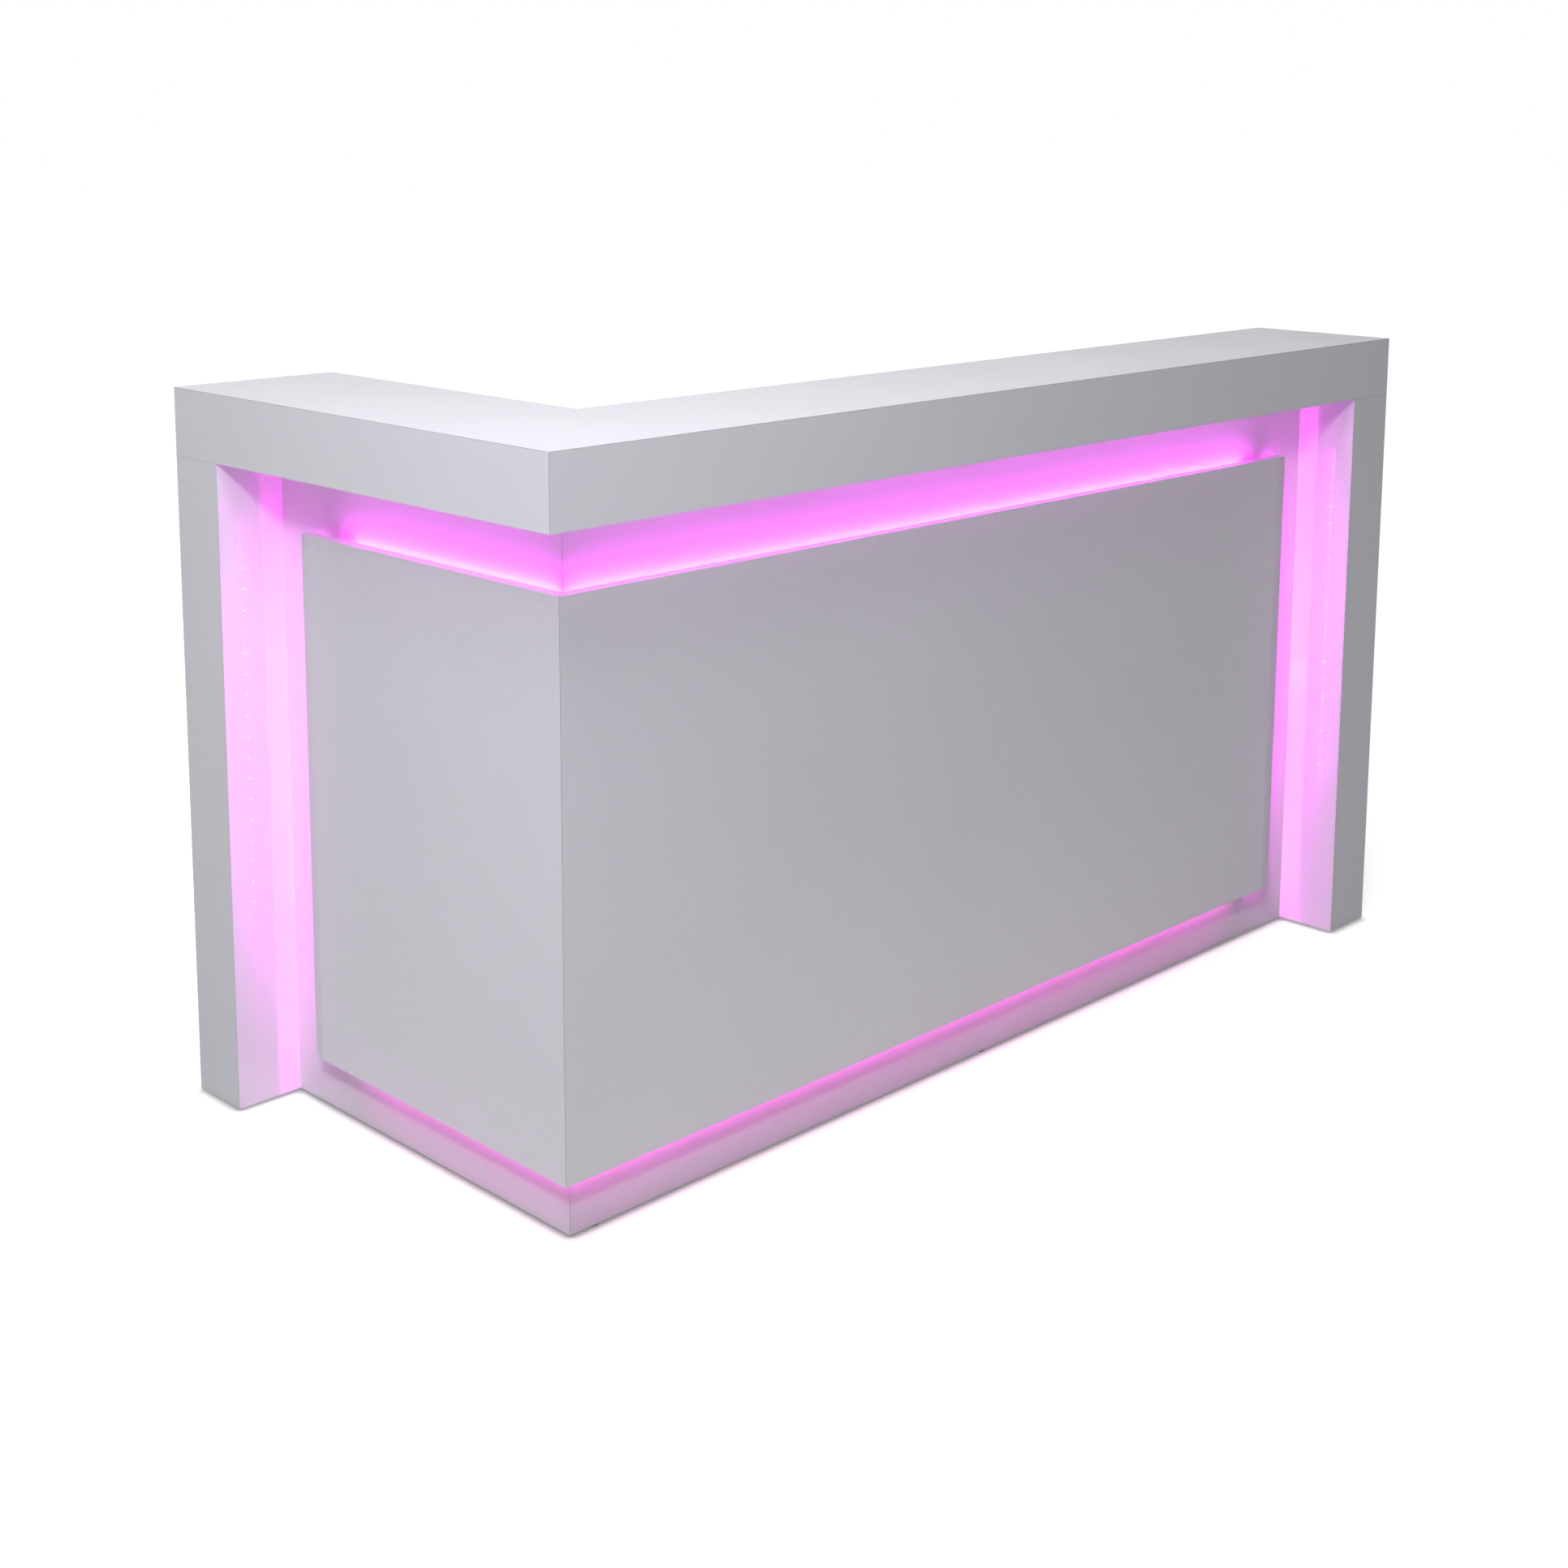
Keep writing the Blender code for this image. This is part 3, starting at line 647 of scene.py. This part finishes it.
def add_worktop_edge():
    """A rounded edge band along the worktop's open edge."""
    low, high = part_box("worktop")
    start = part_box("left_pylon_back")[1].x + BAND_CLEAR
    radius = BAND - BAND_FLAT
    outer = high.y + BAND_FLAT
    section = [(high.y, low.z), (outer, low.z)]
    section += [(outer + u, low.z + radius + v) for u, v in arc(radius, -90, 0, steps=5)[1:]]
    section += [(outer + u, high.z - radius + v) for u, v in arc(radius, 0, 90, steps=5)[:-1]]
    section += [(outer, high.z), (high.y, high.z)]
    shape = bmesh.new()
    loft(shape, [[(x, y, z) for y, z in section] for x in (start, high.x)])
    new_piece("worktop_edge", shape, "desk", "inner_board", EDGE_BAND)


def add_pull(name):
    """A bar handle with a rosette at each foot."""
    low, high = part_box(f"{name}_handle")
    radius = (high.z - low.z) / 2
    level = (low.z + high.z) / 2
    left, right = low.x + radius, high.x - radius
    turn = high.y - radius - PULL_BEND
    route = [(left, low.y, level)]
    for middle, start in ((left + PULL_BEND, 180), (right - PULL_BEND, 90)):
        bend = arc(PULL_BEND, start, start - 90, steps=10)
        route += [(middle + u, turn + v, level) for u, v in bend]
    route.append((right, low.y, level))
    shape = bmesh.new()
    swept(shape, route, radius, sides=24)
    for foot in (left, right):
        turned(shape, seat((foot, low.y, level), (0, 1, 0)), ROSETTE_PROFILE)
    metal = FINISHES["satin_aluminium"]
    pull = new_piece(f"{name}_drawer_pull", shape, f"{name}_drawer", "satin_aluminium", metal)
    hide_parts(f"{name}_handle")


def add_tray_hem(name):
    """The rolled hem on the tray's two sides and back."""
    low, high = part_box(f"{name}_tray")
    half_sheet = TRAY_SHEET / 2
    left = low.x + TRAY_TONGUE + half_sheet
    right = high.x - TRAY_TONGUE - half_sheet
    turn = low.y + half_sheet + HEM_BEND
    front = high.y - TRAY_SHEET
    route = [(left, front, high.z)]
    for middle, start in ((left + HEM_BEND, 180), (right - HEM_BEND, 270)):
        bend = arc(HEM_BEND, start, start + 90, steps=6)
        route += [(middle + u, turn + v, high.z) for u, v in bend]
    route.append((right, front, high.z))
    shape = bmesh.new()
    swept(shape, route, HEM_RADIUS, sides=12)
    steel = FINISHES["sheet_steel"]
    new_piece(f"{name}_tray_hem", shape, f"{name}_drawer", "sheet_steel", steel)


def add_lock():
    """A cam lock in the upper drawer's front: a collar round a split plug with a dark key slot."""
    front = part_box("upper_drawer_front")[1]
    handle_low, handle_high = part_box("upper_handle")
    level = (handle_low.z + handle_high.z) / 2
    base = seat((front.x - LOCK_FROM_END, front.y, level), (0, 1, 0))
    shape = bmesh.new()
    turned(shape, base, LOCK_COLLAR, closed=True)
    radius = LOCK_COLLAR[0][0] - LOCK_PLAY
    tilt = math.degrees(math.asin(LOCK_SLIT / radius))
    for side in (0, 180):
        half = arc(radius, side - 90 + tilt, side + 90 - tilt, steps=16)
        loft(shape, [[base @ Vector((x, y, z)) for x, y in half] for z in (0, LOCK_PLUG)])
    turned(shape, base, ((radius, 0), (radius, LOCK_SLIT_FLOOR)), materials=(1,))
    new_piece(
        "drawer_lock", shape, "upper_drawer", "satin_aluminium",
        FINISHES["satin_aluminium"], FINISHES["black_plastic"],
    )


def add_screws(name, shape):
    new_piece(
        name, shape, "desk", "sheet_steel", FINISHES["sheet_steel"], FINISHES["black_plastic"],
    )


def add_supply_fittings():
    """Ribs, lugs, gland, screws and inlet pins of the power supply."""
    low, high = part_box("power_supply")
    level = (low.z + high.z) / 2
    lugs = (low.x - LUG_HALF, high.x + LUG_HALF)
    shape = bmesh.new()
    for number in range(RIB_COUNT):
        base = seat((low.x + RIB_START + number * RIB_PITCH, high.y, level), (0, 1, 0))
        plate(shape, base, RIB_HALF, RIB_REACH, RIB_HALF * ROUND_END, RIB_LEVELS)
    for x in lugs:
        base = seat((x, low.y, level), (0, 1, 0))
        plate(shape, base, LUG_HALF, LUG_REACH, LUG_HALF / 2, LUG_LEVELS)
    lead_low, lead_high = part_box("led_lead")
    radius = (lead_high.x - lead_low.x) / 2
    outlet = ((lead_low.x + lead_high.x) / 2, lead_high.y - radius, lead_low.z)
    turned(shape, seat(outlet, (0, 0, 1)), GLAND_PROFILE)
    new_piece("supply_fittings", shape, "desk", "black_plastic", FINISHES["black_plastic"])

    shape = bmesh.new()
    for x in lugs:
        screw_head(shape, (x, low.y + LUG_LEVELS[-1][1], level), (0, 1, 0))
    add_screws("supply_screws", shape)

    shape = bmesh.new()
    depth = (low.y + high.y) / 2
    for across, up in PIN_PLACES:
        base = seat((high.x - PIN_ROOT, depth + across, level + up), (1, 0, 0))
        plate(shape, base, *PIN_HALF, PIN_HALF[1] / 2, PIN_LEVELS)
    new_piece("inlet_pins", shape, "desk", "sheet_steel", FINISHES["sheet_steel"])


def face_seat(faces):
    """A local frame at the middle of faces that lie in one plane."""
    area = sum(face.area for face in faces)
    centre = sum((face.center * face.area for face in faces), Vector()) / area
    return seat(centre, faces[0].normal)


def add_rocker_marks():
    """A raised bar on the pressed half of the rocker and a ring on the other."""
    low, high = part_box("power_rocker")
    pivot = (low.x + high.x) / 2
    polygons = NODES["power_rocker"].data.polygons
    faces = [face for face in polygons if face.normal.y > ROCKER_FACING]
    bar = face_seat([face for face in faces if face.center.x < pivot])
    ring = face_seat([face for face in faces if face.center.x >= pivot])
    shape = bmesh.new()
    plate(shape, bar, MARK_HALF, MARK_REACH, MARK_HALF * ROUND_END, MARK_LEVELS)
    inner, outer = MARK_REACH - 2 * MARK_HALF, MARK_REACH
    foot, crown = MARK_LEVELS[0][1], MARK_LEVELS[-1][1]
    section = ((inner, foot), (outer, foot), (outer, crown), (inner, crown))
    turned(shape, ring, section, closed=True)
    new_piece("rocker_marks", shape, "rocker", "white_cable", FINISHES["white_cable"])


def spread(low, high, margin, pitch):
    """Even places between two ends, kept in by a margin, no further apart than a pitch."""
    run = high - low - 2 * margin
    count = math.ceil(run / pitch)
    return [low + margin + run * number / count for number in range(count + 1)]


def add_cleat_screws():
    shape = bmesh.new()
    for _, wing, axis in WINGS:
        low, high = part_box(f"worktop_cleat_{wing}")
        place = Vector((high.x, high.y, (low.z + high.z) / 2))
        for along in spread(low[axis], high[axis], SCREW_MARGINS[wing], SCREW_PITCH):
            place[axis] = along
            screw_head(shape, place, unit(1 - axis))
    add_screws("cleat_screws", shape)


def add_pedestal_caps():
    """Cover caps over the screws in the pedestal's open side."""
    low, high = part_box("pedestal_left_side")
    shape = bmesh.new()
    for y in spread(low.y, high.y, CAP_MARGIN, CAP_PITCH):
        for z in (low.z + CAP_OVER_FOOT, (low.z + high.z) / 2, high.z - CAP_UNDER_HEAD):
            turned(shape, seat((low.x, y, z), (-1, 0, 0)), CAP_PROFILE)
    new_piece("pedestal_caps", shape, "desk", "white_cable", FINISHES["white_cable"])


# Floor and room

def seen_directly(nodes):
    """1 for rays from the camera and for mirror and glass rays, else 0."""
    path = nodes.node("ShaderNodeLightPath").outputs
    seen = path["Is Camera Ray"]
    for name in ("Is Glossy Ray", "Is Transmission Ray"):
        seen = nodes.calc("MAXIMUM", seen, path[name])
    return seen


def distance_to_box(nodes, place, low, high):
    """How far a floor point is outside an upright box."""
    middle = ((low.x + high.x) / 2, (low.y + high.y) / 2, 0)
    half = ((high.x - low.x) / 2, (high.y - low.y) / 2, 1)
    offset = nodes.vector("ABSOLUTE", nodes.vector("SUBTRACT", place, middle))
    outside = nodes.vector("MAXIMUM", nodes.vector("SUBTRACT", offset, half), (0, 0, 0))
    return nodes.length(outside)


def floor_glow(nodes):
    """The glow's strength by distance from the two standing wings of the desk; it is lower near
    them, which paints shade round the desk's foot.
    """
    place = nodes.node("ShaderNodeTexCoord").outputs["Object"]
    away = [distance_to_box(nodes, place, *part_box(f"wall_{wing}")) for _, wing, _ in WINGS]
    furthest = FLOOR_GLOWS[-1][0]
    share = nodes.spanned(nodes.calc("MINIMUM", *away), From_Max=furthest)
    curve = nodes.node("ShaderNodeFloatCurve", Value=share)
    line = curve.mapping.curves[0]
    line.points[0].location = (0.0, FLOOR_GLOWS[0][1])
    line.points[1].location = (1.0, FLOOR_GLOWS[-1][1])
    for distance, level in FLOOR_GLOWS[1:-1]:
        line.points.new(distance / furthest, level)
    curve.mapping.update()
    return curve.outputs["Value"]


def contact_shade(nodes):
    """1 on the open floor, falling along the line where the desk meets it."""
    near = nodes.node(
        "ShaderNodeAmbientOcclusion", {"samples": CONTACT_SAMPLES}, Distance=CONTACT_REACH,
    )
    return nodes.spanned(near.outputs["AO"], From_Min=CONTACT_DEEPEST, To_Min=CONTACT_SHADE)


def add_floor():
    """A floor that is white far off, keeps the desk's real shadow with painted shade along its foot,
    and throws less light back.
    """
    bpy.ops.mesh.primitive_plane_add(size=FLOOR_SIZE)
    floor = bpy.context.object
    floor.name = "floor"
    material = bpy.data.materials.new("pale_floor")
    material.use_nodes = True
    nodes = Nodes(material.node_tree)
    nodes.tree.nodes.clear()
    contact = contact_shade(nodes)
    bounce = nodes.fed("ShaderNodeBsdfDiffuse", (FLOOR_BOUNCE, FLOOR_BOUNCE, FLOOR_BOUNCE, 1))
    shown = nodes.fed("ShaderNodeBsdfDiffuse", nodes.calc("MULTIPLY", contact, FLOOR_SEEN))
    # Glow dimmed by the contact shade and near the desk: painted shade round the desk's foot
    strength = nodes.calc("MULTIPLY", contact, floor_glow(nodes))
    glow = nodes.node("ShaderNodeEmission", Strength=strength).outputs[0]
    both = nodes.fed("ShaderNodeAddShader", shown, glow)
    surface = nodes.fed("ShaderNodeMixShader", seen_directly(nodes), bounce, both)
    nodes.node("ShaderNodeOutputMaterial", Surface=surface)
    floor.data.materials.append(material)
    return floor


def add_world():
    """Soft light from all round, plain white where it is seen."""
    world = bpy.data.worlds.new("soft_room")
    bpy.context.scene.world = world
    world.use_nodes = True
    nodes = Nodes(world.node_tree)
    nodes.tree.nodes.clear()
    soft = nodes.fed("ShaderNodeBackground", (*ROOM_TINT, 1), SKY_LEVEL)
    white = nodes.fed("ShaderNodeBackground", (1, 1, 1, 1))
    surface = nodes.fed("ShaderNodeMixShader", seen_directly(nodes), soft, white)
    nodes.node("ShaderNodeOutputWorld", Surface=surface)


# Lamps

def linked(name, objects, state="INCLUDE"):
    """A collection that says which objects a light reaches, or leaves out."""
    group = bpy.data.collections.new(name)
    for each in objects:
        group.objects.link(each)
    for entry in group.collection_objects:
        entry.light_linking.link_state = state
    return group


def add_softbox(name, place, target, size, power, colour=ROOM_TINT):
    data = bpy.data.lights.new(name, "AREA")
    data.shape = "RECTANGLE"
    data.size, data.size_y = size
    data.energy = power
    data.color = colour
    lamp = bpy.data.objects.new(name, data)
    bpy.context.scene.collection.objects.link(lamp)
    ahead = Vector(target) - Vector(place)
    lamp.location = place
    lamp.rotation_euler = ahead.to_track_quat("-Z", "Y").to_euler()
    lamp.visible_camera = False
    return lamp


def add_glow(name, place, target, size, power, colour, reached, blockers=None):
    """A lamp that no mirror shows, which reaches only some boards."""
    lamp = add_softbox(name, place, target, size, power, colour)
    lamp.visible_glossy = False
    lamp.light_linking.receiver_collection = reached
    lamp.light_linking.blocker_collection = blockers


def add_room_lamps(floor):
    for name, lamp in ROOM_LAMPS.items():
        add_softbox(name, *lamp)
    not_top = linked("all_but_top_and_floor", (NODES["counter_top"], floor), "EXCLUDE")
    for name, lamp in STAFF_FILLS.items():
        add_softbox(name, *lamp).light_linking.receiver_collection = not_top
    panels = linked("panels", (NODES["front_panel_long"], NODES["front_panel_short"]))
    for name, lamp in FLOOR_FILLS.items():
        add_glow(name, *lamp, FLOOR_TINT, panels)


def keep_off_floor(strip_lights, floor):
    not_floor = linked("all_but_floor", (floor,), "EXCLUDE")
    for light in strip_lights:
        light.light_linking.receiver_collection = not_floor


def by_wall(wing, axis, off, along, level):
    """A place a little off the front of a wing's wall, at a length along the wing and a level."""
    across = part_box(f"wall_{wing}")[0][1 - axis] - off
    place = Vector((across, across, level))
    place[axis] = along
    return place


def add_slot_glow(side, wing, axis, reached, blockers):
    """A line of light behind the panel's end, cut off from the cheek by the panel's own edge."""
    low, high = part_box(f"front_panel_{wing}")
    foot, crown = low.z + SLOT_ENDS[0], high.z - SLOT_ENDS[1]
    place = by_wall(wing, axis, SLOT_OFF_WALL, high[axis] - SLOT_REACH, (foot + crown) / 2)
    add_glow(
        f"slot_glow_{side}", place, place + unit(axis), (SLOT_LINE, crown - foot),
        SLOT_POWERS[side], SLOT_GLOWS[side], reached, blockers,
    )


def add_foot_glow(side, wing, axis, reached, blockers):
    """A short line of light at the panel's lower end."""
    low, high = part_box(f"front_panel_{wing}")
    place = by_wall(wing, axis, SLOT_OFF_WALL, high[axis] - SLOT_REACH, low.z)
    add_glow(
        f"foot_glow_{side}", place, place + unit(axis), (SLOT_LINE, FOOT_LENGTH),
        FOOT_POWERS[side], FOOT_GLOW, reached, blockers,
    )


def add_corner_glow(side, wing, axis, reached):
    """A soft light on the wall between the panel's upper end and the cheek."""
    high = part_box(f"front_panel_{wing}")[1]
    place = by_wall(wing, axis, CORNER_OFF_WALL, high[axis] + CORNER_PAST, high.z + CORNER_RISE)
    add_glow(
        f"corner_glow_{side}", place, place + unit(1 - axis), (CORNER_SIZE, CORNER_SIZE),
        CORNER_POWERS[side], CORNER_GLOW, reached,
    )


def add_core_glow(wing, axis, reached):
    """A thin white line along the upper strip that lights the wall just over it."""
    low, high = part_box("led_strip_top")
    start, end = low[axis] + CORE_SHORT, high[axis] - CORE_SHORT
    place = by_wall(wing, axis, CORE_OFF_WALL, (start + end) / 2, high.z + CORE_RISE)
    size = [SLOT_LINE, SLOT_LINE]
    size[axis] = end - start
    add_glow(
        f"core_glow_{wing}", place, place + Vector((0, 0, 1)), size,
        CORE_POWER * (end - start), CORE_GLOW, reached,
    )


def add_slot_lamps():
    """The light round the panels' edges, beyond what the strips themselves give."""
    walls = [NODES["wall_long"], NODES["wall_short"]]
    cheeks = [NODES["left_cheek"], NODES["right_cheek"]]
    panels = [NODES["front_panel_long"], NODES["front_panel_short"]]
    edges = linked("slot_edges", walls + panels)
    recess = linked("recess", walls + cheeks)
    walls = linked("walls", walls)
    cheeks = linked("cheeks", cheeks)
    for side, wing, axis in WINGS:
        add_slot_glow(side, wing, axis, recess, edges)
        add_foot_glow(side, wing, axis, cheeks, walls)
        add_corner_glow(side, wing, axis, walls)
    for _, wing, axis in WINGS:
        add_core_glow(wing, axis, walls)


def add_camera():
    yaw, pitch, roll = (math.radians(a) for a in (CAMERA_YAW, CAMERA_PITCH, CAMERA_ROLL))
    flat = math.cos(pitch)
    ahead = Vector((math.cos(yaw) * flat, math.sin(yaw) * flat, math.sin(pitch)))
    right = Vector((math.sin(yaw), -math.cos(yaw), 0))
    up = right.cross(ahead)
    side = right * math.cos(roll) + up * math.sin(roll)
    upright = up * math.cos(roll) - right * math.sin(roll)
    data = bpy.data.cameras.new("camera")
    data.sensor_width = CAMERA_SENSOR
    data.lens = CAMERA_LENS
    data.shift_x, data.shift_y = CAMERA_SHIFT
    camera = bpy.data.objects.new("camera", data)
    bpy.context.scene.collection.objects.link(camera)
    turn = Matrix((side, upright, -ahead)).transposed()
    camera.matrix_world = Matrix.Translation(CAMERA_PLACE) @ turn.to_4x4()
    bpy.context.scene.camera = camera


add_camera()
dress_nodes()
strip_lights = add_dies()
strip_lights += [NODES[f"led_strip_{place}"] for place in STRIP_LEVELS]
add_worktop_edge()
for drawer in ("lower", "upper"):
    add_pull(drawer)
    add_tray_hem(drawer)
add_lock()
add_supply_fittings()
add_rocker_marks()
add_cleat_screws()
add_pedestal_caps()
floor = add_floor()
add_world()
add_room_lamps(floor)
keep_off_floor(strip_lights, floor)
add_slot_lamps()
bpy.context.scene.view_settings.view_transform = "Standard"
